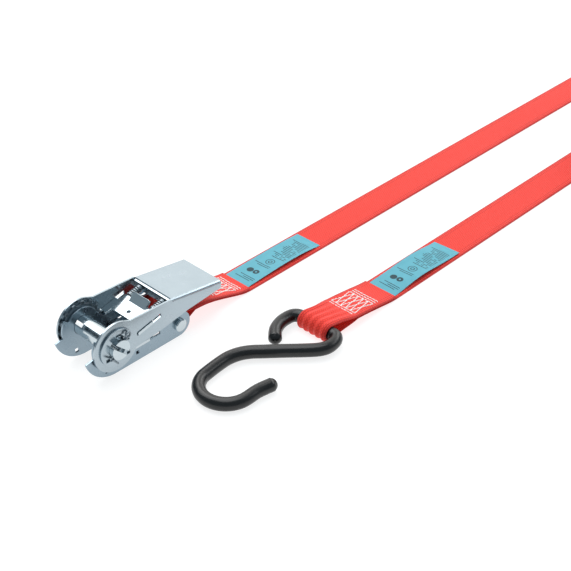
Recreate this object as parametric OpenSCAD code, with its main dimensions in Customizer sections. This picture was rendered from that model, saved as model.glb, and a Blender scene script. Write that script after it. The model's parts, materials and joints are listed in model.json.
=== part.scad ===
/* [Ratchet] */
// Height of the spool's axis above the ground
spool_z = 19.8; // [19.5:0.1:21]
// Distance from the spool's axis to the strap bolt
bolt_reach = 47.5; // [45:0.5:50]
// Length of the handle from the spool's axis to its front edge
handle_reach = 79; // [76:1:82]
// Clear width between the two cheeks of the base frame
cheek_gap = 25.6; // [25.4:0.1:26]
// Thickness of the base frame's steel sheet
cheek_t = 1.3; // [1.2:0.1:1.4]
// Thickness of each toothed wheel
wheel_t = 1.2; // [1.1:0.1:1.3]
// Thickness of the handle's steel sheet
handle_t = 1.2; // [1.1:0.1:1.3]
// Number of teeth on each wheel
teeth = 14; // [12:1:16]

/* [Webbing] */
// Width of the webbing
web_w = 25; // [24.6:0.1:25]
// Thickness of the webbing
web_t = 1.2; // [1.0:0.1:1.3]
// Distance from the ratchet's bolt to the anchor hook's bar
fixed_run = 514; // [505:1:525]
// Sideways distance from the ratchet to the loose strap
loose_offset = 70; // [66:1:80]
// Length of loose strap that lies flat, from the hook's bar to the roll
loose_run = 345; // [335:1:355]
// Outer diameter of the rolled end
roll_d = 80; // [78:1:84]

/* [Hooks] */
// Diameter of the hook's coated rod
rod_d = 8; // [7.6:0.1:8]
// Diameter of the steel rod under the coating
core_d = 6; // [5.6:0.1:6.4]
// Radius of the hook's mouth, to the middle of the rod
mouth_r = 15.6; // [15:0.1:16]

/* [Hidden] */

gap = 0.12;                 // side clearance between two sheets
cheek_in = cheek_gap / 2;
cheek_out = cheek_in + cheek_t;
wheel_in = cheek_out + gap;
wheel_out = wheel_in + wheel_t;
wall_in = wheel_out + gap;
wall_out = wall_in + handle_t;
spool_x = -24;
bolt_x = spool_x + bolt_reach;
bolt_z = 8.3;
spool_r = 6;
spool_end = wall_out + 4.2;
slit = 2.4;                 // gap between the two halves of the spool
slit_turn = 135;            // direction of the slit, from +X towards +Z
shaft_gap = 0.08;
bolt_r = 3;
sleeve_r = 4;
hub_r = 15.5;
fold_r = 1.9;               // outer radius where the handle's plate is folded into its walls
lobe_r = 19.8;
cam_r = 14.4;
nest_r = 11;
tip_r = 14.4;
root_r = 12.4;
pawl_t = 2;
ear_play = 0.15;
drive_tilt = 12.8;          // slope of the drive pawl's slots
drive_in = 14.6;            // start and end of those slots, from the spool's axis
drive_out = 32.6;
drive_z = spool_z - 2.9;    // height at which the slots' line passes the axis
lock_z = 10.4;
lock_in = 11.6;
lock_out = 33.2;
steel = [0.74, 0.77, 0.8];
dark_steel = [0.5, 0.53, 0.57];
web_red = [0.9, 0.2, 0.16];
label_blue = [0.36, 0.68, 0.74];
thread = [0.95, 0.86, 0.85];
vinyl = [0.06, 0.06, 0.065];

// ---- helpers ----

// A sheet or block whose side outline, in X and Z, is given, from y0 to y1
module side_plate(y0, y1)
    translate([0, y1, 0]) rotate([90, 0, 0]) linear_extrude(y1 - y0) children();

module both_sides() {
    children();
    mirror([0, 1, 0]) children();
}

module at_spool() translate([spool_x, 0, spool_z]) children();

module cross_rod(r, y0, y1, $fn = 64)
    translate([0, y1, 0]) rotate([90, 0, 0]) cylinder(r = r, h = y1 - y0);

// A straight slot of width w in the XZ outline, from a to b
module slot2d(a, b, w) {
    d = b - a;
    translate(a) rotate(atan2(d[1], d[0])) translate([0, -w / 2]) square([norm(d), w]);
}

// Points of a smooth curve through the given ones, "n" to each stretch
function curve_point(p0, p1, p2, p3, t) =
    0.5 * (2 * p1 + (p2 - p0) * t + (2 * p0 - 5 * p1 + 4 * p2 - p3) * t * t
           + (3 * p1 - p0 - 3 * p2 + p3) * t * t * t);
function smooth(p, n) = concat(
    [for (i = [0 : len(p) - 2], k = [0 : n - 1])
        curve_point(p[max(i - 1, 0)], p[i], p[i + 1], p[min(i + 2, len(p) - 1)], k / n)],
    [p[len(p) - 1]]);

function along(p, i) = let (a = p[max(i - 1, 0)], b = p[min(i + 1, len(p) - 1)]) (b - a) / norm(b - a);

// Outline of a band of thickness t whose middle follows the points p
function band(p, t) = concat(
    [for (i = [0 : len(p) - 1]) let (d = along(p, i)) p[i] + [-d[1], d[0]] * t / 2],
    [for (i = [len(p) - 1 : -1 : 0]) let (d = along(p, i)) p[i] - [-d[1], d[0]] * t / 2]);

function arc(c, r, a0, a1, n) = [for (i = [0 : n]) let (a = a0 + (a1 - a0) * i / n) c + r * [cos(a), sin(a)]];

// A round rod of radius r that follows the points p
module rod(p, r, sides) {
    rings = [for (i = [0 : len(p) - 1])
        let (d = along(p, i), u = cross([0, 0, 1], d) / norm(cross([0, 0, 1], d)), v = cross(d, u))
        for (k = [0 : sides - 1]) p[i] + r * (cos(360 * k / sides) * u + sin(360 * k / sides) * v)];
    last = (len(p) - 1) * sides;
    polyhedron(rings, concat(
        [[for (k = [0 : sides - 1]) k]],
        [[for (k = [sides - 1 : -1 : 0]) last + k]],
        [for (i = [0 : len(p) - 2], k = [0 : sides - 1])
            let (a = i * sides + k, b = i * sides + (k + 1) % sides)
            [a, a + sides, b + sides, b]]), convexity = 10);
}

// ---- base frame ----

module cheek_outline() {
    difference() {
        union() {
            translate([spool_x, spool_z]) {
                circle(r = nest_r, $fn = 96);
                intersection() {
                    circle(r = cam_r, $fn = 128);
                    polygon([[0, 0], [-30, -5.5], [-30, 21]]);
                }
                intersection() {
                    circle(r = lobe_r, $fn = 160);
                    polygon([[0, 0], [-30, -5.5], [-30, -30], [8, -30]]);
                }
            }
            polygon([[spool_x, 0], [bolt_x, 0], [bolt_x + 6.2, 13.8], [bolt_x - 4, 17],
                     [spool_x + 24, 17.6], [spool_x + 14.6, 18.2], [spool_x + 9.4, spool_z + 4.6], [spool_x, spool_z]]);
            translate([bolt_x, bolt_z]) circle(r = bolt_z, $fn = 96);
        }
        translate([spool_x, spool_z]) circle(r = spool_r + shaft_gap, $fn = 96);
        translate([bolt_x, bolt_z]) circle(r = bolt_r + shaft_gap, $fn = 64);
        slot2d([spool_x + lock_in, lock_z], [spool_x + lock_out, lock_z], pawl_t + 2 * ear_play);
        translate([spool_x - 7.2, 3.6]) square(2.6);
        translate([spool_x + 15, 4.4]) square(2.2);
    }
}

module base_frame() color(steel) {
    both_sides() side_plate(cheek_in, cheek_out) cheek_outline();
    side_plate(-cheek_in, cheek_in) translate([-10, 0]) square([20, cheek_t]);
    // the springs of the lock pawl push against this bar
    side_plate(-cheek_in, cheek_in) translate([spool_x + 39.6, lock_z - 2.6]) square([cheek_t, 5.2]);
}

module strap_bolt() color(steel) translate([bolt_x, 0, bolt_z]) {
    cross_rod(bolt_r, -cheek_out - 0.4, cheek_out + 2.8);
    cross_rod(3.9, -cheek_out - 1.9, -cheek_out - 0.15);
    translate([0, -cheek_out - 1.88, 0]) rotate([90, 0, 0]) cylinder(r1 = 3.9, r2 = 3.3, h = 0.5, $fn = 64);
}

module bolt_sleeve() color(dark_steel) translate([bolt_x, 0, bolt_z]) difference() {
    cross_rod(sleeve_r, -cheek_in + 0.2, cheek_in - 0.2);
    cross_rod(bolt_r + shaft_gap, -cheek_in, cheek_in);
}

module bolt_nut() color(steel) translate([bolt_x, 0, bolt_z]) difference() {
    cross_rod(5.2, cheek_out + 0.1, cheek_out + 2.6, $fn = 6);
    cross_rod(bolt_r + 0.02, cheek_out, cheek_out + 3);
}

// The nose stands clear of the teeth by this much, so that the wheels can turn
nose_clear = 0.35;

module lock_pawl() color(steel) {
    nose = spool_x + sqrt(pow(tip_r + nose_clear, 2) - pow(spool_z - lock_z - pawl_t / 2, 2));
    far_end = nose + 16;
    side_plate(-wall_in + 0.3, wall_in - 0.3)
        translate([nose, lock_z - pawl_t / 2]) square([far_end - nose - 3.5, pawl_t]);
    side_plate(-cheek_in + 0.5, cheek_in - 0.5)
        polygon([[far_end - 3.6, lock_z - pawl_t / 2], [far_end - 1, lock_z - pawl_t / 2],
                 [far_end + 1, lock_z - pawl_t / 2 - 3], [far_end + 2.2, lock_z - pawl_t / 2 - 2.2],
                 [far_end, lock_z + pawl_t / 2], [far_end - 3.6, lock_z + pawl_t / 2]]);
}

// A coil spring of radius r from a to b
module spring(a, b, r, turns) {
    d = (b - a) / norm(b - a);
    v = cross(d, [0, 1, 0]);
    steps = turns * 10;
    rod([for (i = [0 : steps]) let (w = 36 * i) a + (b - a) * i / steps
            + r * (cos(w) * [0, 1, 0] + sin(w) * v)], 0.42, 5);
}

module lock_springs() color(dark_steel) {
    start = spool_x + 31.2;
    for (y = [-7, 7]) spring([start, y, lock_z], [start + 7.8, y, lock_z], 1.9, 5);
}

// ---- handle ----

module handle_outline() {
    kink = [spool_x + 41.4, 30.4];
    front = [spool_x + handle_reach, 24.5];
    difference() {
        union() {
            translate([spool_x, spool_z]) circle(r = hub_r, $fn = 160);
            polygon([[spool_x + 4, spool_z], [spool_x + 4, spool_z + 14.9], [spool_x + 11, 31.9],
                     kink, front, [front[0], 19.5], [spool_x + 53, 17.4], [spool_x + 30, 13.6],
                     [spool_x + 13.3, 12.2]]);
        }
        translate([spool_x, spool_z]) circle(r = spool_r + shaft_gap, $fn = 96);
        drive_slot(pawl_t + 2 * ear_play);
    }
}

module drive_slot(w) {
    run = [cos(drive_tilt), sin(drive_tilt)];
    slot2d([spool_x, drive_z] + drive_in / run[0] * run, [spool_x, drive_z] + drive_out / run[0] * run, w);
}

// The plate is folded down into the walls; this keeps the fold's outer radius, in front of the kink
module fold_envelope() {
    side_plate(-30, 30) polygon([[-60, -5], [spool_x + 41, -5], [spool_x + 41, 40], [-60, 40]]);
    translate([spool_x + 41.4, 0, 30.4]) rotate([0, atan2(5.9, handle_reach - 41.4), 0]) translate([-0.5, 0, 0])
        rotate([90, 0, 90]) linear_extrude(60) {
            translate([-wall_out, -40]) square([2 * wall_out, 40 - fold_r]);
            for (side = [-1, 1]) translate([side * (wall_out - fold_r), -fold_r]) circle(r = fold_r, $fn = 48);
            translate([fold_r - wall_out, -fold_r - 1]) square([2 * (wall_out - fold_r), fold_r + 1]);
        }
}

module handle() color(steel) intersection() {
    union() {
        both_sides() side_plate(wall_in, wall_out) handle_outline();
        side_plate(-wall_in, wall_in)
            polygon([[spool_x + 41.4, 30.4], [spool_x + handle_reach, 24.5],
                     [spool_x + handle_reach, 24.5 - handle_t], [spool_x + 41.4, 30.4 - handle_t]]);
        side_plate(-wall_in, wall_in)
            polygon([[spool_x + handle_reach - handle_t, 24], [spool_x + handle_reach, 24],
                     [spool_x + handle_reach, 21.6], [spool_x + handle_reach - handle_t, 21.6]]);
    }
    fold_envelope();
}

module drive_frame() translate([spool_x, 0, drive_z]) rotate([0, -drive_tilt, 0]) children();

module drive_pawl() color(steel) drive_frame() {
    nose = sqrt(pow(tip_r + nose_clear, 2) - pow(2.9 + pawl_t / 2, 2)) + 0.9;
    difference() {
        union() {
            side_plate(-cheek_in + 0.4, cheek_in - 0.4)
                translate([nose, -pawl_t / 2]) square([17.2, pawl_t]);
            side_plate(-wall_out - 0.6, wall_out + 0.6)
                translate([nose + 0.6, -pawl_t / 2]) square([11.2, pawl_t]);
            side_plate(-6.8, 6.8)
                polygon([[nose + 13.4, 0.4], [nose + 14.6, -0.8], [nose + 20.6, 2.6], [nose + 19.8, 4.2]]);
        }
        // between the two noses the plate stands back from the spool
        translate([nose - 1, -10.6, -2]) cube([5.5, 21.2, 4]);
        translate([nose + 8.5, 0, -2]) cylinder(r = 1.3, h = 4, $fn = 32);
    }
}

module drive_springs() color(dark_steel) drive_frame()
    for (y = [-10, 10]) spring([32.9, y, 0], [41.1, y, 0], 2.1, 5);

module spring_bracket() color(steel) drive_frame() {
    side_plate(-wall_in + 0.02, wall_in - 0.02) polygon([[41.7, -3.4], [43, -3.4], [43, 3.2], [41.7, 3.2]]);
    for (y = [-10, 10]) translate([37.4, y, 0]) rotate([0, 90, 0]) cylinder(r = 1.2, h = 4.4, $fn = 32);
}

// ---- spool ----

module spool_half() at_spool() rotate([0, -slit_turn, 0]) intersection() {
    cross_rod(spool_r, -spool_end, spool_end, $fn = 96);
    difference() {
        translate([-spool_r - 1, -spool_end - 1, slit / 2]) cube([2 * spool_r + 2, 2 * spool_end + 2, spool_r]);
        for (y = [-1, 1]) translate([0, y * (wall_out + 2.7), 0]) cylinder(r = 1.05, h = 20, $fn = 32);
    }
}

module spool_half_lower() color(steel) spool_half();
module spool_half_upper() color(steel) translate([spool_x, 0, spool_z]) rotate([0, 180, 0])
    translate([-spool_x, 0, -spool_z]) spool_half();

module ratchet_wheel() at_spool() side_plate(wheel_in, wheel_out) difference() {
    polygon([for (i = [0 : teeth - 1], k = [0 : 3])
        let (a = -360 / teeth * (i + [0, 0.28, 0.42, 0.98][k]) + 6, r = [tip_r, tip_r, root_r, root_r + 0.3][k])
        r * [cos(a), sin(a)]]);
    circle(r = spool_r + 0.01, $fn = 96);
}

module ratchet_wheel_far() color(dark_steel) ratchet_wheel();
module ratchet_wheel_near() color(dark_steel) mirror([0, 1, 0]) ratchet_wheel();

module end_washer() at_spool() side_plate(wall_out + gap, wall_out + gap + 1.1) difference() {
    circle(r = 11.7, $fn = 128);
    circle(r = spool_r + 0.01, $fn = 96);
    translate([6.8, -6.6]) square(2.4, center = true);
    translate([-7.3, -4.8]) square([2.6, 2.4], center = true);
    // a curved slot above the shaft
    intersection() {
        difference() {
            circle(r = 8.6, $fn = 96);
            circle(r = 7.2, $fn = 96);
        }
        polygon([[0, 0], [14, 3], [14, 14], [-1, 14]]);
    }
}

module end_washer_far() color(steel) end_washer();
module end_washer_near() color(steel) mirror([0, 1, 0]) end_washer();

// A split pin through both halves, with an eye at one end and two legs bent outwards at the other
module cotter_pin() at_spool() rotate([0, -slit_turn, 0]) translate([0, wall_out + 2.7, 0]) {
    translate([0, 0, -7.6]) cylinder(r = 0.95, h = 14.6, $fn = 32);
    translate([0, 0, -9]) rotate([90, 0, 0]) rotate_extrude($fn = 48) translate([1.5, 0]) circle(r = 0.6, $fn = 24);
    for (turn = [25, 155]) translate([0, 0, 6.9]) rotate([0, 0, turn]) rotate([0, 82, 0])
        cylinder(r = 0.6, h = 3.6, $fn = 24);
}

module cotter_pin_far() color(dark_steel) cotter_pin();
module cotter_pin_near() color(dark_steel) mirror([0, 1, 0]) cotter_pin();

// ---- webbing ----

loop_play = 0.3;
lie = web_t / 2 + 0.02;
layer = web_t + 0.12;
loop_w = 22.4;
bolt_wrap = sleeve_r + loop_play + web_t / 2;
bar_wrap = rod_d / 2 + loop_play + web_t / 2;
bar_z = bar_wrap + lie;
loose_bar_x = spool_x + 104.5;
anchor_bar_x = bolt_x + fixed_run;

// The webbing's end is folded back on top of it and sewn down. These are the middles of that upper
// layer, near the ratchet and near a hook whose bar is at the origin and whose mouth points to -X.
tail_z = lie + layer;
shoulder = smooth([[bolt_x + 14.5, 11.7], [bolt_x + 22.5, 11.1], [bolt_x + 30.5, 9.5], [bolt_x + 38.5, 7.2],
                   [bolt_x + 47.5, 4.4], [bolt_x + 54, 2.6], [bolt_x + 59.4, tail_z]], 3);
ramp = smooth([[22, 6.5], [30, 5.6], [42, 3.9], [51, 2.5], [57.3, tail_z]], 3);

// From the end of the folded layer, round the bolt or bar, and back one layer lower
function sewn_loop(upper, wrap) = concat(
    [for (i = [len(upper) - 1 : -1 : 0]) upper[i]], wrap, [for (p = upper) p - [0, layer]]);
function hook_loop(bar) = [for (p = sewn_loop(ramp, arc([0, bar_z], bar_wrap, 80, 282, 18))) p + [bar, 0]];
function turned(p, about) = [for (i = [len(p) - 1 : -1 : 0]) [2 * about - p[i][0], p[i][1]]];

fixed_path = concat(
    sewn_loop(shoulder, arc([bolt_x, bolt_z], bolt_wrap, 84, 298, 18)),
    turned(hook_loop(anchor_bar_x), anchor_bar_x));
roll_x = loose_bar_x + loose_run;
band_t = 1;                 // the rubber band passes under the roll and lifts it
loose_path = concat(hook_loop(loose_bar_x),
    smooth([[roll_x - 45, lie], [roll_x - 32, lie + 0.2], [roll_x - 14, lie + band_t - 0.1], [roll_x, lie + band_t + 0.1]], 2));

module webbing(path, y, loop_x) difference() {
    translate([0, y, 0]) side_plate(-web_w / 2, web_w / 2) polygon(band(path, web_t));
    // the webbing is gathered to a narrower band where it runs through a hook's eye
    for (side = [-1, 1]) translate([loop_x - 14, y + side * (loop_w / 2 + 5) - 5, -1]) cube([28, 10, 30]);
}

module fixed_strap() color(web_red) webbing(fixed_path, 0, anchor_bar_x);
module loose_strap() color(web_red) webbing(loose_path, -loose_offset, loose_bar_x);

// Four rows across the webbing and a cross between them, on its upper face from a to b
module stitch_block(a, b, y) {
    rise = atan2(b[1] - a[1], b[0] - a[0]);
    run = norm(b - a);
    translate([a[0], y, a[1]]) rotate([0, -rise, 0]) translate([0, 0, web_t / 2 + 0.02]) {
        for (x = [1, 3.2, run - 3.2, run - 1]) translate([x - 0.35, -10, 0]) cube([0.7, 20, 0.3]);
        for (side = [-1, 1]) translate([run / 2, 0, 0])
            rotate([0, 0, side * atan2(17, run - 9)]) translate([-(run - 9) / 2, -0.35, 0]) cube([run - 9, 0.7, 0.3]);
    }
}

module fixed_strap_stitching() color(thread) stitch_block(shoulder[6] + [0, 0.1], shoulder[12] + [0, 0.1], 0);
module loose_strap_stitching() color(thread)
    stitch_block(ramp[0] + [loose_bar_x, 0.22], ramp[6] + [loose_bar_x, 0.22], -loose_offset);
module anchor_stitching() color(thread) translate([2 * anchor_bar_x, 0, 0]) mirror([1, 0, 0])
    stitch_block(ramp[0] + [anchor_bar_x, 0.22], ramp[6] + [anchor_bar_x, 0.22], 0);

module label(x, y) translate([x, y - 9.9, 2 * lie + 0.12]) cube([65, 19.8, 0.3]);
module fixed_strap_label() color(label_blue) label(bolt_x + 60.2, 0.2);
module loose_strap_label() color(label_blue) label(loose_bar_x + 58.1, -loose_offset - 0.4);

module strap_roll() color(web_red) translate([roll_x, -loose_offset, roll_d / 2 + band_t + 0.1]) difference() {
    cross_rod(roll_d / 2, -web_w / 2, web_w / 2, $fn = 128);
    translate([-60, -web_w, -roll_d / 2 - 1]) cube([120, 2 * web_w, 1 + 2 * lie + 0.1]);
}

// A rubber band across the roll, over both of its flat faces
module roll_band() color(vinyl) translate([roll_x - 3, -loose_offset, 0.05]) difference() {
    translate([0, -web_w / 2 - 1.1, 0]) cube([6, web_w + 2.2, roll_d + 2 * band_t + 0.35]);
    translate([-1, -web_w / 2 - 0.1, band_t - 0.02]) cube([8, web_w + 0.2, roll_d + 0.32]);
}

// ---- hooks ----

// Middle of the hook's rod seen from above, with the strap bar's middle at the origin
hook_plan = smooth(concat(
    [[-55.5, -17.6], [-64.5, -15.7]],
    arc([-72.5, 0], mouth_r, -90, -270, 10),
    [[-64.5, 16.3], [-56.5, 16.4], [-49.5, 14.6], [-43.5, 10.9], [-38, 5.6], [-29, -3.2], [-21, -11.2],
     [-15.5, -16], [-10.5, -18], [-4.4, -17.5], [-0.9, -15.2], [0, -11.5], [0, 0], [0, 11.5],
     [-0.9, 15.2], [-4.4, 17.5], [-12, 17.6], [-19.5, 14.7], [-25.6, 9.2]]), 2);

// The mouth lies on the ground, and the webbing under the bar lifts the eye
hook_line = [for (p = hook_plan) [p[0], p[1], rod_d / 2 + (bar_z - rod_d / 2) * (1 + p[0] / 88)]];

module hook_core() rod(hook_line, core_d / 2 - 0.02, 10);
module hook_coating() difference() {
    rod(hook_line, rod_d / 2, 14);
    rod([for (i = [0 : len(hook_line) - 1]) hook_line[i]
         + (i == 0 ? -1 : i == len(hook_line) - 1 ? 1 : 0) * along(hook_line, i)], core_d / 2, 10);
}

module loose_hook_place() translate([loose_bar_x, -loose_offset, 0]) children();
module anchor_hook_place() translate([anchor_bar_x, 0, 0]) rotate([0, 0, 180]) children();
module loose_hook_core() color(dark_steel) loose_hook_place() hook_core();
module loose_hook_coating() color(vinyl) loose_hook_place() hook_coating();
module anchor_hook_core() color(dark_steel) anchor_hook_place() hook_core();
module anchor_hook_coating() color(vinyl) anchor_hook_place() hook_coating();

base_frame();
strap_bolt();
bolt_sleeve();
bolt_nut();
lock_pawl();
lock_springs();
handle();
drive_pawl();
drive_springs();
spring_bracket();
spool_half_upper();
spool_half_lower();
ratchet_wheel_near();
ratchet_wheel_far();
end_washer_near();
end_washer_far();
cotter_pin_near();
cotter_pin_far();
fixed_strap();
fixed_strap_stitching();
fixed_strap_label();
anchor_stitching();
anchor_hook_core();
anchor_hook_coating();
loose_strap();
loose_strap_stitching();
loose_strap_label();
strap_roll();
roll_band();
loose_hook_core();
loose_hook_coating();
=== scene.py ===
"""A two-part lashing: a short-lever ratchet with its own strap, and a loose strap with its hook."""

import json
import math

import bpy
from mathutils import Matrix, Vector

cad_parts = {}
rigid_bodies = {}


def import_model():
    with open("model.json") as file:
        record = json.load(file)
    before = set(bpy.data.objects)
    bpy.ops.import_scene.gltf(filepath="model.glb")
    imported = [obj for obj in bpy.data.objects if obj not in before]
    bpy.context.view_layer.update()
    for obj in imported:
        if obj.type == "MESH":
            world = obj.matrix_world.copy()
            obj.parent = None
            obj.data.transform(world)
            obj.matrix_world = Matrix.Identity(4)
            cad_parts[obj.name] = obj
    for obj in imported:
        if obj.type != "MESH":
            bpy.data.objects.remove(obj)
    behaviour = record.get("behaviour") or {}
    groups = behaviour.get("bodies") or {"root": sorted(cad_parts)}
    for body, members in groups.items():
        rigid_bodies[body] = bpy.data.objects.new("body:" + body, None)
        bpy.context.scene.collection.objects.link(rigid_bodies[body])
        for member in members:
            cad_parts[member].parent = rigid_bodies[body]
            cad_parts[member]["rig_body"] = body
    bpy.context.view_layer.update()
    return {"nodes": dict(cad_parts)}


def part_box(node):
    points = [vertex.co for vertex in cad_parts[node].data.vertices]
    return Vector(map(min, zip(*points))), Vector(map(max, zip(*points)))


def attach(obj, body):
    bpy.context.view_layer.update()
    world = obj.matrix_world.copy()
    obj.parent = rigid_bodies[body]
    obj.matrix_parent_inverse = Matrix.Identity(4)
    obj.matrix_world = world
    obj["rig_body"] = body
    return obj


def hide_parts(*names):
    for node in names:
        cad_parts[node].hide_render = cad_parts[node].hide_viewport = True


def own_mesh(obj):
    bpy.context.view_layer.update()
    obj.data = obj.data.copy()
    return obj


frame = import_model()
MM = 0.001


# ---- Studio ----
# A white sheet on the ground, one large soft box overhead, smaller ones behind and at the right,
# and dim walls far off with a lit panel, so that bright plating has light and dark to mirror.

def linear(hex_colour, alpha=1.0):
    """An sRGB hex colour as the linear numbers that the sockets take."""
    parts = [int(hex_colour[i:i + 2], 16) / 255 for i in (0, 2, 4)]
    flat = [c / 12.92 if c <= 0.04045 else ((c + 0.055) / 1.055) ** 2.4 for c in parts]
    return (*flat, alpha)


def add_node(tree, kind, inputs=None, **settings):
    """Adds a node: its settings, and for each input a value or the socket that feeds it."""
    made = tree.nodes.new(kind)
    for name, value in settings.items():
        setattr(made, name, value)
    for name, value in (inputs or {}).items():
        if isinstance(value, bpy.types.NodeSocket):
            tree.links.new(value, made.inputs[name])
        else:
            made.inputs[name].default_value = value
    return made


def new_material(name):
    """An empty material and the output node that its shader goes into."""
    material = bpy.data.materials.new(name)
    material.use_nodes = True
    material.node_tree.nodes.clear()
    return material, material.node_tree, add_node(material.node_tree, "ShaderNodeOutputMaterial")


def noise(tree, place, scale, detail):
    """A noise texture's value at a place."""
    return add_node(tree, "ShaderNodeTexNoise",
                    {"Vector": place, "Scale": scale, "Detail": detail}).outputs["Fac"]


def blend(tree, share, start, end):
    """A colour between two, each a hex string or a socket."""
    start, end = (linear(c) if isinstance(c, str) else c for c in (start, end))
    mixed = add_node(tree, "ShaderNodeMix", {0: share, 6: start, 7: end}, data_type="RGBA")
    return mixed.outputs[2]


def relief(tree, height, distance, strength, under=None):
    """Bump from a height, on top of an earlier bump if there is one."""
    inputs = {"Height": height, "Distance": distance, "Strength": strength}
    if under is not None:
        inputs["Normal"] = under
    return add_node(tree, "ShaderNodeBump", inputs).outputs["Normal"]


def paper_sweep():
    """White seamless paper: it glows, as overlit paper does, so shadows on it stay faint."""
    material, tree, output = new_material("studio paper")
    matt = add_node(tree, "ShaderNodeBsdfDiffuse", {"Color": (0.3, 0.3, 0.3, 1)})
    glow = add_node(tree, "ShaderNodeEmission", {"Color": linear("ffffff"), "Strength": 0.8})
    both = add_node(tree, "ShaderNodeAddShader", {0: matt.outputs[0], 1: glow.outputs[0]})
    tree.links.new(both.outputs[0], output.inputs["Surface"])
    return material


bpy.ops.mesh.primitive_plane_add(size=9, location=(0, 0, 0))
floor = bpy.context.object
floor.name = "studio_floor"
floor.data.transform(floor.matrix_world)
floor.matrix_world.identity()
floor.data.materials.append(paper_sweep())


PANEL_SIDE = (0.76, 0.56, 0.33)
WALL_GREY = (0.27, 0.33, 0.37, 1)
PANEL_WHITE = (1.38, 1.38, 1.36, 1)


def studio_sky():
    """Dim grey walls with one broad lit panel low down behind the work."""
    sky = bpy.data.worlds.new("studio")
    sky.use_nodes = True
    tree = sky.node_tree
    way = add_node(tree, "ShaderNodeTexCoord")
    towards = add_node(tree, "ShaderNodeVectorMath",
                       {0: way.outputs["Generated"], 1: PANEL_SIDE}, operation="DOT_PRODUCT")
    panel = add_node(tree, "ShaderNodeMapRange",
                     {"Value": towards.outputs["Value"], "From Min": 0.62, "From Max": 0.86},
                     interpolation_type="SMOOTHSTEP")
    tone = add_node(tree, "ShaderNodeMix",
                    {0: panel.outputs["Result"], 6: WALL_GREY, 7: PANEL_WHITE}, data_type="RGBA")
    tree.links.new(tone.outputs[2], tree.nodes["Background"].inputs["Color"])
    return sky


bpy.context.scene.world = studio_sky()
bpy.context.scene.view_settings.view_transform = "Standard"

SOFTBOXES = {
    "overhead": ((0.1, 0.1, 1.3), (0.9, 0.9), 7.0),
    "high_back": ((0.1, 0.55, 0.8), (0.9, 0.4), 3.4),
    "right": ((0.85, -0.25, 0.62), (1.1, 0.28), 2.6),
}
work_centre = Vector((0.1, -0.03, 0))
for name, (place, size, power) in SOFTBOXES.items():
    bpy.ops.object.light_add(type="AREA", location=place)
    lamp = bpy.context.object
    lamp.name = name
    lamp.data.shape = "RECTANGLE"
    lamp.data.size, lamp.data.size_y = size
    lamp.data.energy = power
    lamp.rotation_euler = (work_centre - Vector(place)).to_track_quat("-Z", "Y").to_euler()

VIEW_DISTANCE = 0.7278
VIEW_TARGET = Vector((0.1025, -0.0234, 0))
view_turn = math.radians(-46.21)
view_rise = math.radians(35.09)
view_back = Vector((math.sin(view_turn) * math.cos(view_rise),
                    -math.cos(view_turn) * math.cos(view_rise), math.sin(view_rise)))
bpy.ops.object.camera_add(location=VIEW_TARGET + view_back * VIEW_DISTANCE)
camera = bpy.context.object
camera.rotation_euler = (-view_back).to_track_quat("-Z", "Y").to_euler()
camera.data.lens = 74.4
camera.data.sensor_width = 36
bpy.context.scene.camera = camera


# ---- Webbing ----
# Both straps are 25 mm polyester lashing webbing, 1.2 mm thick, woven in coarse ribs that run
# along it, and dyed fluorescent red. The ends are folded round a bolt or bar, back over the top,
# and sewn down.

WEB_WIDTH = 25 * MM
WEB_THICK = 1.2 * MM
LIE = WEB_THICK / 2 + 0.02 * MM
LAYER = WEB_THICK + 0.12 * MM


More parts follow.
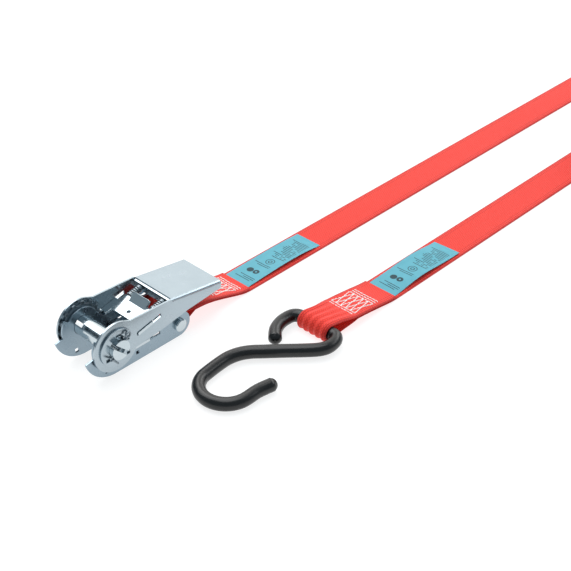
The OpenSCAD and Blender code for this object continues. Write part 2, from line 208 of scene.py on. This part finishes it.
def polyester_webbing():
    """Woven polyester, matt with a soft sheen; ribs 1.3 mm apart, drawn coarse enough to show."""
    material, tree, output = new_material("woven polyester webbing")
    place = add_node(tree, "ShaderNodeUVMap", uv_map="weave")
    parts = add_node(tree, "ShaderNodeSeparateXYZ", {"Vector": place.outputs["UV"]})

    def maths(operation, a, b=0.0):
        return add_node(tree, "ShaderNodeMath", {0: a, 1: b}, operation=operation).outputs[0]

    across = maths("DIVIDE", parts.outputs["X"], 1.3 * MM)
    along = maths("DIVIDE", parts.outputs["Y"], 1.7 * MM)
    column = maths("FLOOR", across)
    stagger = maths("MULTIPLY", maths("MODULO", column, 2.0), 0.5)
    rib = maths("ABSOLUTE", maths("SINE", maths("MULTIPLY", across, math.pi)))
    pass_over = maths("ADD", along, stagger)
    knot = maths("ABSOLUTE", maths("SINE", maths("MULTIPLY", pass_over, math.pi)))
    height = maths("ADD", maths("MULTIPLY", rib, 0.45), maths("MULTIPLY", knot, 0.55))
    cloud = noise(tree, place.outputs["UV"], 90.0, 3.0)
    fibre = noise(tree, place.outputs["UV"], 2500.0, 2.0)
    # Painted shade: the low places of the weave, between ribs and knots, are coloured darker than
    # the high ones.
    painted_groove_shade = blend(tree, height, "a81c16", "fa4638")
    worn = blend(tree, cloud, "e6362a", "f24034")
    woven = blend(tree, 0.35, painted_groove_shade, worn)
    out_from_middle = maths("ABSOLUTE", parts.outputs["X"])

    def stripe(start, end):
        return maths("MULTIPLY", maths("GREATER_THAN", out_from_middle, start * MM),
                     maths("LESS_THAN", out_from_middle, end * MM))

    # Darker stripes along the webbing: two thin woven lines and a dashed woven edge on top. The
    # edge stripe also covers the side faces, where it is painted shade.
    dash = maths("ADD", maths("MULTIPLY", knot, 0.6), 0.4)
    edge = maths("MULTIPLY", stripe(11.5, 13.0), dash)
    inner_lines = maths("ADD", maths("MULTIPLY", stripe(8.8, 9.3), 0.6),
                        maths("MULTIPLY", stripe(10.4, 10.9), 0.6))
    selvedge_and_side_shade = maths("ADD", inner_lines, edge)
    colour = blend(tree, maths("MULTIPLY", selvedge_and_side_shade, 0.75), woven, "8e1a1c")
    fuzz = relief(tree, fibre, 0.03 * MM, 0.5)
    weave = relief(tree, height, 0.16 * MM, 0.8, under=fuzz)
    # The faint red emission is a painted glow that lifts the webbing's shaded sides.
    shader = add_node(tree, "ShaderNodeBsdfPrincipled", {
        "Base Color": colour, "Roughness": 0.72, "Sheen Weight": 0.25, "Sheen Roughness": 0.4,
        "Specular IOR Level": 0.3, "Emission Color": linear("ff3020"), "Emission Strength": 0.06,
        "Normal": weave})
    tree.links.new(shader.outputs[0], output.inputs["Surface"])
    return material


webbing_cloth = polyester_webbing()


def curve_through(points, steps):
    """A smooth line through the points, "steps" to each stretch."""
    line = []
    for i in range(len(points) - 1):
        before, a, b, after = (Vector(points[max(0, min(len(points) - 1, k))])
                               for k in (i - 1, i, i + 1, i + 2))
        for k in range(steps):
            t = k / steps
            line.append(0.5 * (2 * a + (b - before) * t
                               + (2 * before - 5 * a + 4 * b - after) * t ** 2
                               + (3 * a - before - 3 * b + after) * t ** 3))
    return line + [Vector(points[-1])]


def round_bar(centre, radius, start, end, steps):
    """Points on an arc, in X and Z, angles in degrees."""
    turns = [math.radians(start + (end - start) * k / steps) for k in range(steps + 1)]
    return [centre + radius * Vector((math.cos(a), math.sin(a))) for a in turns]


def resample(line, pitch):
    """The same line with points no further apart than the pitch."""
    dense = [line[0]]
    for a, b in zip(line, line[1:]):
        count = max(1, math.ceil((b - a).length / pitch))
        dense += [a + (b - a) * k / count for k in range(1, count + 1)]
    return dense


def pick(piece):
    """Selects this object alone and makes it the active one."""
    bpy.ops.object.select_all(action="DESELECT")
    piece.select_set(True)
    bpy.context.view_layer.objects.active = piece


def mesh_piece(name, points, faces, map_name, places, crease):
    """A closed mesh with outward faces; places has a map position for each point."""
    mesh = bpy.data.meshes.new(name)
    mesh.from_pydata(points, [], faces)
    layer = mesh.uv_layers.new(name=map_name)
    for loop in mesh.loops:
        layer.data[loop.index].uv = places[loop.vertex_index]
    piece = bpy.data.objects.new(name, mesh)
    bpy.context.collection.objects.link(piece)
    pick(piece)
    bpy.ops.object.mode_set(mode="EDIT")
    bpy.ops.mesh.select_all(action="SELECT")
    bpy.ops.mesh.normals_make_consistent(inside=False)
    bpy.ops.object.mode_set(mode="OBJECT")
    bpy.ops.object.shade_smooth_by_angle(angle=math.radians(crease))
    return piece


def ribbon(name, line, middle_y, width_at, lift_at, columns=36):
    """A woven ribbon whose middle follows the line in X and Z.

    width_at(p) is its width and lift_at(p, u) how far it rises, at a point p and a share u of
    its width from -1 to 1.
    """
    edge = WEB_THICK / 2
    outline = [(-1 + 2 * k / columns, 1) for k in range(columns + 1)]
    outline += [(1, 0)] + [(u, -1) for u, _ in reversed(outline)] + [(-1, 0)]
    points, faces, weave = [], [], []
    travelled = 0.0
    for i, p in enumerate(line):
        a, b = line[max(i - 1, 0)], line[min(i + 1, len(line) - 1)]
        ahead = (b - a).normalized()
        up = Vector((-ahead.y, ahead.x))
        travelled += (p - line[i - 1]).length if i else 0
        width = width_at(p)
        for u, side in outline:
            reach = width / 2 - edge * 0.35 if side else width / 2
            rise = side * edge * (1 - 0.45 * abs(u) ** 12) + lift_at(p, u)
            points.append((p.x + up.x * rise, middle_y + u * reach, p.y + up.y * rise))
            weave.append((u * WEB_WIDTH / 2, travelled))
    ring = len(outline)
    for i in range(len(line) - 1):
        for k in range(ring):
            a, b = i * ring + k, i * ring + (k + 1) % ring
            faces.append((a, b, b + ring, a + ring))
    faces.append(tuple(range(ring - 1, -1, -1)))
    faces.append(tuple(range(len(points) - ring, len(points))))
    return mesh_piece(name, points, faces, "weave", weave, 50), travelled


def middle(node):
    """The middle of a node's box."""
    low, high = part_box(node)
    return (low + high) / 2


# ---- Fixed strap ----
# It is sewn round the ratchet's bolt, comes out under the handle, drops to the ground and ends in
# a second hook.

bolt = middle("bolt_sleeve")
sleeve_radius = (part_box("bolt_sleeve")[1].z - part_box("bolt_sleeve")[0].z) / 2
HOOK_ROD = 4 * MM
WRAP_GAP = 0.3 * MM
bolt_wrap = sleeve_radius + WRAP_GAP + WEB_THICK / 2
bar_wrap = HOOK_ROD + WRAP_GAP + WEB_THICK / 2
bar_height = bar_wrap + LIE


def mm_points(*pairs):
    """Points in X and Z, or in X and Y, given in millimetres."""
    return [Vector(pair) * MM for pair in pairs]


TAIL_HEIGHT = LIE + LAYER
SHOULDER = curve_through(mm_points((14.5, 11.7), (22.5, 11.1), (30.5, 9.5), (38.5, 7.2),
                                   (47.5, 4.4), (54, 2.6), (59.4, TAIL_HEIGHT / MM)), 3)
RAMP = curve_through(mm_points((22, 6.5), (30, 5.6), (42, 3.9), (51, 2.5),
                               (57.3, TAIL_HEIGHT / MM)), 3)


def sewn_loop(upper, wrap):
    """From the end of the folded layer, round the bolt or bar, and back one layer lower."""
    return upper[::-1] + wrap + [p - Vector((0, LAYER)) for p in upper]


def hook_loop(bar_x, way):
    """The webbing at a hook, on the bar's +X or -X side."""
    line = sewn_loop(RAMP, round_bar(Vector((0, bar_height)), bar_wrap, 80, 282, 18))
    return [Vector((bar_x + way * p.x, p.y)) for p in line]


anchor_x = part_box("fixed_strap")[1].x - bar_wrap - WEB_THICK / 2
shoulder_line = [Vector((bolt.x + p.x, p.y)) for p in SHOULDER]
round_bolt = round_bar(Vector((bolt.x, bolt.z)), bolt_wrap, 84, 298, 18)
fixed_line = sewn_loop(shoulder_line, round_bolt) + hook_loop(anchor_x, -1)[::-1]


EYE_WIDTH = 22.2 * MM
FOLD_HEIGHT = 0.8 * MM
FOLD_REACH = 24 * MM
WEB_STEP = 3 * MM


def gathered_at(bar):
    """Width of the webbing: pulled in where it runs through a hook's eye."""
    def width(p):
        share = max(0.0, min(1.0, (abs(p.x - bar) - 7 * MM) / (14 * MM)))
        return EYE_WIDTH + (WEB_WIDTH - EYE_WIDTH) * share * share * (3 - 2 * share)
    return width


def folds_at(bar):
    """Soft folds that run round the bar where the webbing is gathered; they rise outwards only."""
    def lift(p, u):
        near = abs(p.x - bar) / FOLD_REACH
        wave = 0.5 + 0.5 * math.sin(15 * u + 0.8 + 40 * (p.x - bar))
        return -FOLD_HEIGHT * max(0.0, 1 - near * near) * wave
    return lift


fixed_strap, fixed_length = ribbon("fixed_webbing", resample(fixed_line, WEB_STEP), 0.0,
                                   gathered_at(anchor_x), folds_at(anchor_x))
fixed_strap.data.materials.append(webbing_cloth)
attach(fixed_strap, "fixed_strap")
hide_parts("fixed_strap")


# ---- Loose strap ----
# It is sewn into the hook's eye and lies flat; the rest of it is rolled up, held by a rubber band.

loose_y = middle("loose_strap").y
loose_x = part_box("loose_strap")[0].x + bar_wrap + WEB_THICK / 2
roll = middle("strap_roll")
roll_radius = (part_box("strap_roll")[1].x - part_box("strap_roll")[0].x) / 2 - WEB_THICK / 2
roll_core = 3 * MM
roll_pitch = WEB_THICK + 0.06 * MM
roll_turns = (roll_radius - roll_core) / roll_pitch
roll_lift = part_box("strap_roll")[1].z - 2 * (roll_radius + WEB_THICK / 2)


def roll_line(steps=44):
    """The spiral of the roll, from its outer turn on the ground to its core, in steps a turn."""
    centre = Vector((roll.x, roll_radius + WEB_THICK / 2 + roll_lift))
    count = int(roll_turns * steps)
    line = []
    for k in range(count + 1):
        a = -math.pi / 2 + 2 * math.pi * k / steps
        r = roll_radius - roll_pitch * k / steps
        line.append(centre + r * Vector((math.cos(a), math.sin(a))))
    return line


band_top = WEB_THICK / 2 + roll_lift
onto_band = curve_through([(roll.x - 45 * MM, LIE), (roll.x - 32 * MM, LIE + 0.2 * MM),
                           (roll.x - 14 * MM, band_top - 0.2 * MM), (roll.x, band_top)], 3)
loose_flat = resample(hook_loop(loose_x, 1) + onto_band, WEB_STEP)
loose_strap, loose_length = ribbon("loose_webbing", loose_flat[:-1] + roll_line(), loose_y,
                                   gathered_at(loose_x), folds_at(loose_x))
loose_strap.data.materials.append(webbing_cloth)
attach(loose_strap, "loose_strap")
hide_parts("loose_strap", "strap_roll")


# ---- Hooks ----
# Bent steel rod, 6 mm thick, dipped in black vinyl to 8 mm: an open mouth at one end and an eye
# with a straight bar for the webbing at the other. The eye lies higher than the mouth.

def dipped_vinyl():
    """PVC plastisol, satin black, with a faint orange-peel skin."""
    material, tree, output = new_material("dipped vinyl")
    place = add_node(tree, "ShaderNodeTexCoord")
    peel = noise(tree, place.outputs["Object"], 700.0, 2.0)
    scuff = noise(tree, place.outputs["Object"], 120.0, 6.0)
    rough = add_node(tree, "ShaderNodeMapRange",
                     {"Value": scuff, "To Min": 0.22, "To Max": 0.36})
    colour = blend(tree, scuff, "0a0a0b", "141415")
    bump = relief(tree, peel, 0.05 * MM, 0.5)
    shader = add_node(tree, "ShaderNodeBsdfPrincipled", {
        "Base Color": colour, "Roughness": rough.outputs["Result"], "IOR": 1.5,
        "Specular IOR Level": 0.5, "Normal": bump})
    tree.links.new(shader.outputs[0], output.inputs["Surface"])
    return material


vinyl = dipped_vinyl()
HOOK_PLAN = curve_through(
    mm_points((-55.5, -17.6), (-64.5, -15.7))
    + [Vector((-72.5, 0)) * MM + p for p in round_bar(Vector((0, 0)), 15.6 * MM, -90, -270, 10)]
    + mm_points((-64.5, 16.3), (-56.5, 16.4), (-49.5, 14.6), (-43.5, 10.9), (-38, 5.6),
                (-29, -3.2), (-21, -11.2), (-15.5, -16), (-10.5, -18), (-4.4, -17.5),
                (-0.9, -15.2), (0, -11.5), (0, 0), (0, 11.5), (-0.9, 15.2), (-4.4, 17.5),
                (-12, 17.6), (-19.5, 14.7), (-25.6, 9.2)), 4)


HOOK_RUN = 88 * MM
DIP_DOME = [(0.0, 0.25), (0.12, 0.55), (0.35, 0.8), (0.65, 0.95)]


def tube(name, radius, roundness, routes, caps, material, crease):
    """A mesh of round rod or wire along each route; a route's points are (x, y, z, thickness)."""
    curve = bpy.data.curves.new(name, "CURVE")
    curve.dimensions = "3D"
    curve.bevel_depth = radius
    curve.bevel_resolution = roundness
    curve.use_fill_caps = caps
    for route in routes:
        spline = curve.splines.new("POLY")
        spline.points.add(len(route) - 1)
        for point, (x, y, z, thickness) in zip(spline.points, route):
            point.co = (x, y, z, 1)
            point.radius = thickness
    piece = bpy.data.objects.new(name, curve)
    bpy.context.collection.objects.link(piece)
    pick(piece)
    bpy.ops.object.convert(target="MESH")
    bpy.ops.object.shade_smooth_by_angle(angle=math.radians(crease))
    piece.data.materials.append(material)
    return piece


def coated_hook(name, bar_x, bar_y, way, body, node):
    """A rod along the hook's middle line, its two ends rounded off by the dip."""
    line = [Vector((bar_x + way * p.x, bar_y + way * p.y,
                    HOOK_ROD + (bar_height - HOOK_ROD) * (1 + p.x / HOOK_RUN))) for p in HOOK_PLAN]
    first, last = (line[1] - line[0]).normalized(), (line[-1] - line[-2]).normalized()
    route = [(*(line[0] - first * HOOK_ROD * (0.7 - t)), r) for t, r in DIP_DOME]
    route += [(*p, 1.0) for p in line]
    route += [(*(line[-1] + last * HOOK_ROD * (0.7 - t)), r) for t, r in reversed(DIP_DOME)]
    hook = tube(name, HOOK_ROD, 7, [route], True, vinyl, 60)
    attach(hook, body)
    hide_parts(node)


coated_hook("loose_hook", loose_x, loose_y, 1, "loose_hook", "loose_hook_coating")
coated_hook("anchor_hook", anchor_x, 0.0, -1, "anchor_hook", "anchor_hook_coating")


# ---- Ratchet steelwork ----
# Pressed and turned steel, bright zinc plated: bluish, satin, with soft edges from tumbling.

def zinc_plate(name, light, dark, roughness):
    """Electroplated zinc: a metal with a cloudy blue-grey tint and fine rolling lines."""
    material, tree, output = new_material(name)
    place = add_node(tree, "ShaderNodeTexCoord")
    cloud = noise(tree, place.outputs["Object"], 110.0, 4.0)
    grain = noise(tree, place.outputs["Object"], 1400.0, 3.0)
    tint = blend(tree, cloud, dark, light)
    rough = add_node(tree, "ShaderNodeMapRange",
                     {"Value": cloud, "To Min": roughness - 0.06, "To Max": roughness + 0.08})
    bump = relief(tree, grain, 0.02 * MM, 0.35)
    shader = add_node(tree, "ShaderNodeBsdfPrincipled", {
        "Base Color": tint, "Metallic": 1.0, "Roughness": rough.outputs["Result"],
        "Normal": bump})
    tree.links.new(shader.outputs[0], output.inputs["Surface"])
    return material


bright_zinc = zinc_plate("bright zinc plate", "b2bec5", "a6b3bb", 0.24)
# Painted shade: a darker, bluer copy of the zinc, so that the base frame's inner faces look
# shadowed.
zinc_with_painted_shade = zinc_plate("zinc plate with painted shade", "9dadb7", "8c9eaa", 0.26)
polished_zinc = zinc_plate("polished zinc plate", "cbd4d8", "b9c5ca", 0.14)
dull_zinc = zinc_plate("dull zinc plate", "8d979d", "76828a", 0.3)


def tumbled(node, edge, material):
    """A copy of a steel part with its edges rounded by tumbling, in place of the plain one."""
    source = frame["nodes"][node]
    piece = source.copy()
    piece.data = source.data.copy()
    for key in list(piece.keys()):
        del piece[key]
    piece.parent = None
    piece.name = "steel_" + node
    bpy.context.collection.objects.link(piece)
    piece.data.materials.clear()
    pick(piece)
    bpy.ops.object.mode_set(mode="EDIT")
    bpy.ops.mesh.select_all(action="SELECT")
    bpy.ops.mesh.remove_doubles(threshold=0.002 * MM)
    bpy.ops.mesh.dissolve_limited(angle_limit=math.radians(0.5))
    bpy.ops.object.mode_set(mode="OBJECT")
    soften = piece.modifiers.new("tumbling", "BEVEL")
    soften.width = edge
    soften.segments = 2
    soften.limit_method = "ANGLE"
    soften.angle_limit = math.radians(28)
    soften.use_clamp_overlap = True
    bpy.ops.object.modifier_apply(modifier=soften.name)
    bpy.ops.object.shade_smooth_by_angle(angle=math.radians(40))
    facing = piece.modifiers.new("flat faces", "WEIGHTED_NORMAL")
    facing.keep_sharp = True
    bpy.ops.object.modifier_apply(modifier=facing.name)
    piece.data.materials.append(material)
    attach(piece, source["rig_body"])
    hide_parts(node)


SHEET_EDGE = 0.2 * MM
SMALL_EDGE = 0.12 * MM
# The base frame takes the darker zinc copy, which is painted shade.
tumbled("base_frame", SHEET_EDGE, zinc_with_painted_shade)
for node in ("handle", "bolt_nut", "end_washer_near", "end_washer_far"):
    tumbled(node, SHEET_EDGE, bright_zinc)
for node in ("strap_bolt", "lock_pawl", "drive_pawl", "spring_bracket", "spool_half_upper",
             "spool_half_lower"):
    tumbled(node, SHEET_EDGE, polished_zinc)
for node in ("bolt_sleeve", "ratchet_wheel_near", "ratchet_wheel_far", "cotter_pin_near",
             "cotter_pin_far"):
    tumbled(node, SMALL_EDGE, dull_zinc)
for node in ("loose_hook_core", "anchor_hook_core"):
    frame["nodes"][node].data.materials.clear()
    frame["nodes"][node].data.materials.append(dull_zinc)


# ---- Pawl springs ----
# Each pawl has two coil springs of hard steel wire that push it at the wheels. The wire is zinc
# plated, shinier than the pressed parts, and its last turns lie close.

SPRING_TURNS = 6.5
SPRING_STEPS = 110
WIRE_RADIUS = 0.42 * MM
JOINT_AXES = {"drive_pawl_slide": Vector((0.97515, 0, 0.22155)),
              "lock_pawl_slide": Vector((1, 0, 0))}
wire = zinc_plate("spring wire", "ccd4d8", "aab4ba", 0.2)


def coil_springs(node, joint, radius):
    """The two springs in a node's box, wound about the line that their pawl slides on."""
    low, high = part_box(node)
    centre = (low + high) / 2
    slide = JOINT_AXES[joint]
    across = slide.cross(Vector((0, 1, 0)))
    half = ((high - low).x / 2 - abs(across.x) * radius - WIRE_RADIUS) / slide.x
    for side, side_name in ((-1, "near"), (1, "far")):
        middle_line = Vector((centre.x, side * (high.y - radius - WIRE_RADIUS), centre.z))
        coil = []
        for k in range(SPRING_STEPS + 1):
            share = k / SPRING_STEPS
            closed_ends = min(1, max(0, (share - 0.1) / 0.8))
            a = 2 * math.pi * SPRING_TURNS * share
            place = (middle_line + slide * half * (2 * closed_ends - 1)
                     + radius * (math.cos(a) * Vector((0, 1, 0)) + math.sin(a) * across))
            coil.append((*place, 1.0))
        spring = tube(f"{joint}_spring_{side_name}", WIRE_RADIUS, 3, [coil], True, wire, 60)
        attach(spring, frame["nodes"][node]["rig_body"])
        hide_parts(node)
        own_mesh(spring)


coil_springs("drive_springs", "drive_pawl_slide", 2.1 * MM)
coil_springs("lock_springs", "lock_pawl_slide", 1.9 * MM)


# ---- Sewing ----
# The folded ends are sewn down with thick white polyester thread: two close rows across the
# webbing at each end of the seam, and a zigzag that crosses itself between them.

def sewing_thread():
    """Twisted polyester, off-white, with the ply as ribs; the dips between the plies are painted
    darker and pinker, as shade.
    """
    material, tree, output = new_material("sewing thread")
    place = add_node(tree, "ShaderNodeTexCoord")
    ply = add_node(tree, "ShaderNodeTexWave",
                   {"Vector": place.outputs["Object"], "Scale": 620.0, "Distortion": 1.5})
    # Painted shade: the tint is darker and pinker where the ply's bump is low.
    tint = blend(tree, ply.outputs["Fac"], "f0d8d4", "fffaf7")
    bump = relief(tree, ply.outputs["Fac"], 0.05 * MM, 0.5)
    shader = add_node(tree, "ShaderNodeBsdfPrincipled", {
        "Base Color": tint, "Roughness": 0.6, "Sheen Weight": 0.3, "Normal": bump})
    tree.links.new(shader.outputs[0], output.inputs["Surface"])
    return material


thread = sewing_thread()
SEAM_WIDTH = 18.6 * MM
SEAM_LEGS = 5
SEAM_LENGTH = 25 * MM
STITCH = 2.3 * MM


def surface_at(line, distance):
    """A point on the line and its upward direction, at a distance along it."""
    for a, b in zip(line, line[1:]):
        span = (b - a).length
        if distance <= span:
            ahead = (b - a) / span
            return a + ahead * distance, Vector((-ahead.y, ahead.x))
        distance -= span
    raise ValueError("beyond the end of the line")


def sewn_seam(name, line, centre_y, length, body, node):
    """A seam on top of the webbing whose middle is the line, from the line's start."""
    half = SEAM_WIDTH / 2
    row_places = [0.8 * MM, 3.0 * MM, length - 5.2 * MM, length - 3.0 * MM, length - 0.8 * MM]
    rows = [((s, -half), (s, half)) for s in row_places]
    step = 2 * half / SEAM_LEGS
    for way in (1, -1):
        corners = [(row_places[1 + k % 2], way * (-half + k * step)) for k in range(SEAM_LEGS + 1)]
        rows += list(zip(corners, corners[1:]))
    routes = []
    for (s0, y0), (s1, y1) in rows:
        run = math.hypot(s1 - s0, y1 - y0)
        stitches = max(1, round(run / STITCH))
        steps = stitches * 6
        route = []
        for k in range(steps + 1):
            share = k / steps
            wobble = 0.12 * MM * math.sin(9 * share + 50 * y0 / MM)
            point, up = surface_at(line, s0 + (s1 - s0) * share + wobble + 0.4 * MM)
            arch = abs(math.sin(math.pi * stitches * share))
            rise = WEB_THICK / 2 - 0.38 * MM + 0.5 * MM * arch ** 0.6
            route.append((point.x + up.x * rise, centre_y + y0 + (y1 - y0) * share,
                          point.y + up.y * rise, 1.0))
        routes.append(route)
    seam = tube(name, 0.36 * MM, 1, routes, False, thread, 70)
    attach(seam, body)
    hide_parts(node)


sewn_seam("ratchet_end_seam", shoulder_line[6:], 0.0, SEAM_LENGTH, "fixed_strap",
          "fixed_strap_stitching")
seam_line = [Vector((19, 7.05)) * MM] + RAMP
sewn_seam("loose_end_seam", [Vector((loose_x + p.x, p.y)) for p in seam_line], loose_y,
          SEAM_LENGTH, "loose_strap", "loose_strap_stitching")
sewn_seam("anchor_end_seam", [Vector((anchor_x - p.x, p.y)) for p in seam_line], 0.0,
          SEAM_LENGTH, "fixed_strap", "anchor_stitching")


# ---- Labels ----
# Smooth turquoise label tape, 20 mm wide, one end held by the seam and the rest loose, so it
# waves a little. The print is plain dark bars, a ring and two dots that say nothing.

def printed_label():
    """Calendered polyester tape, near satin, with dark bars across it in ragged rows."""
    material, tree, output = new_material("printed label tape")
    place = add_node(tree, "ShaderNodeUVMap", uv_map="print")
    parts = add_node(tree, "ShaderNodeSeparateXYZ", {"Vector": place.outputs["UV"]})

    def maths(operation, a, b=0.0, c=0.0):
        return add_node(tree, "ShaderNodeMath", {0: a, 1: b, 2: c}, operation=operation).outputs[0]

    along, across = parts.outputs["X"], parts.outputs["Y"]
    row = maths("DIVIDE", along, 1.55 * MM)
    in_row = maths("LESS_THAN", maths("FRACT", row), 0.36)
    word = add_node(tree, "ShaderNodeCombineXYZ", {
        "X": maths("FLOOR", row), "Y": maths("FLOOR", maths("DIVIDE", across, 1.9 * MM))})
    chance = add_node(tree, "ShaderNodeTexWhiteNoise", {"Vector": word.outputs[0]},
                      noise_dimensions="2D")
    inked = maths("GREATER_THAN", chance.outputs["Value"], 0.2)
    line_length = add_node(tree, "ShaderNodeTexWhiteNoise", {"W": maths("FLOOR", row)},
                           noise_dimensions="1D")
    reach = maths("ADD", maths("MULTIPLY", line_length.outputs["Value"], 6.5 * MM), 1.0 * MM)

    def between(value, start, end):
        return maths("MULTIPLY", maths("GREATER_THAN", value, start),
                     maths("LESS_THAN", value, end))

    within = between(across, -7.6 * MM, reach)
    bars = maths("MULTIPLY", maths("MULTIPLY", in_row, inked), within)

    def strip(start, end):
        return between(along, start * MM, end * MM)

    rows = maths("ADD", maths("ADD", strip(4, 9.2), strip(21, 24)), strip(34, 59))
    text = maths("MULTIPLY", bars, rows)

    def spot(x, y, inner, outer):
        far = maths("SQRT", maths("ADD", maths("POWER", maths("SUBTRACT", along, x * MM), 2.0),
                                  maths("POWER", maths("SUBTRACT", across, y * MM), 2.0)))
        return between(far, inner * MM, outer * MM)

    marks = maths("ADD", maths("ADD", spot(28.5, -1.0, 2.6, 3.1), spot(28.5, -1.0, 0.9, 1.5)),
                  maths("ADD", spot(14.2, 2.5, 0.0, 2.3), spot(14.6, -2.2, 0.7, 2.2)))
    ink = maths("MINIMUM", maths("ADD", text, marks), 1.0)
    faded = maths("MULTIPLY", ink, 0.9)
    cloud = noise(tree, place.outputs["UV"], 160.0, 3.0)
    tape = blend(tree, cloud, "53a3b3", "64b0c0")
    colour = blend(tree, faded, tape, "0e1b21")
    fibre = noise(tree, place.outputs["UV"], 1800.0, 2.0)
    bump = relief(tree, fibre, 0.03 * MM, 0.4)
    shader = add_node(tree, "ShaderNodeBsdfPrincipled", {
        "Base Color": colour, "Roughness": 0.5, "Specular IOR Level": 0.3, "Normal": bump})
    tree.links.new(shader.outputs[0], output.inputs["Surface"])
    return material


label_tape = printed_label()
TAPE_THICK = 0.22 * MM


def label_sheet(name, node, body, wave):
    """A strip of tape in a node's place; wave(s, u) is its height over the webbing, in mm."""
    low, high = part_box(node)
    length, width = high.x - low.x, high.y - low.y
    centre_y = (low.y + high.y) / 2
    columns, rows = 60, 12
    points, faces, print_at = [], [], []
    for layer in (1, 0):
        for i in range(columns + 1):
            for j in range(rows + 1):
                s, u = i / columns, -1 + 2 * j / rows
                points.append((low.x + s * length, centre_y + u * width / 2,
                               low.z + wave(s, u) * MM + layer * TAPE_THICK))
                print_at.append((s * length, u * width / 2))
    sheet_size = (columns + 1) * (rows + 1)
    for i in range(columns):
        for j in range(rows):
            a = i * (rows + 1) + j
            top = (a, a + rows + 1, a + rows + 2, a + 1)
            faces += [top, tuple(v + sheet_size for v in reversed(top))]
    rim = ([j for j in range(rows)] + [i * (rows + 1) + rows for i in range(columns)]
           + [columns * (rows + 1) + j for j in range(rows, 0, -1)]
           + [i * (rows + 1) for i in range(columns, 0, -1)])
    for a, b in zip(rim, rim[1:] + rim[:1]):
        faces.append((a, b, b + sheet_size, a + sheet_size))
    piece = mesh_piece(name, points, faces, "print", print_at, 40)
    piece.data.materials.append(label_tape)
    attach(piece, body)
    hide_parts(node)


def lifted_edge(s, u):
    """Held flat at its first end, then up off the webbing along one edge."""
    bow = math.sin(math.pi * min(1, s * 1.05)) ** 0.7
    return 0.1 + (0.9 + 1.5 * max(0, -u)) * bow * (0.35 + 0.65 * s)


def arched(s, u):
    """Held at both ends and arched between them, with a slight ripple."""
    return 0.1 + 2.0 * math.sin(math.pi * s) ** 2 + 0.35 * math.sin(9 * s + 1.2 * u)


label_sheet("fixed_strap_tape", "fixed_strap_label", "fixed_strap", lifted_edge)
label_sheet("loose_strap_tape", "loose_strap_label", "loose_strap", arched)


# ---- Rubber band ----
# One flat black rubber band, stretched across the roll, over both of its faces.

def band_rubber():
    """Moulded natural rubber, matt and slightly bloomed."""
    material, tree, output = new_material("band rubber")
    place = add_node(tree, "ShaderNodeTexCoord")
    bloom = noise(tree, place.outputs["Object"], 260.0, 4.0)
    tint = blend(tree, bloom, "161616", "2c2b2a")
    bump = relief(tree, bloom, 0.06 * MM, 0.4)
    shader = add_node(tree, "ShaderNodeBsdfPrincipled", {
        "Base Color": tint, "Roughness": 0.75, "Normal": bump})
    tree.links.new(shader.outputs[0], output.inputs["Surface"])
    return material


tumbled("roll_band", 0.35 * MM, band_rubber())
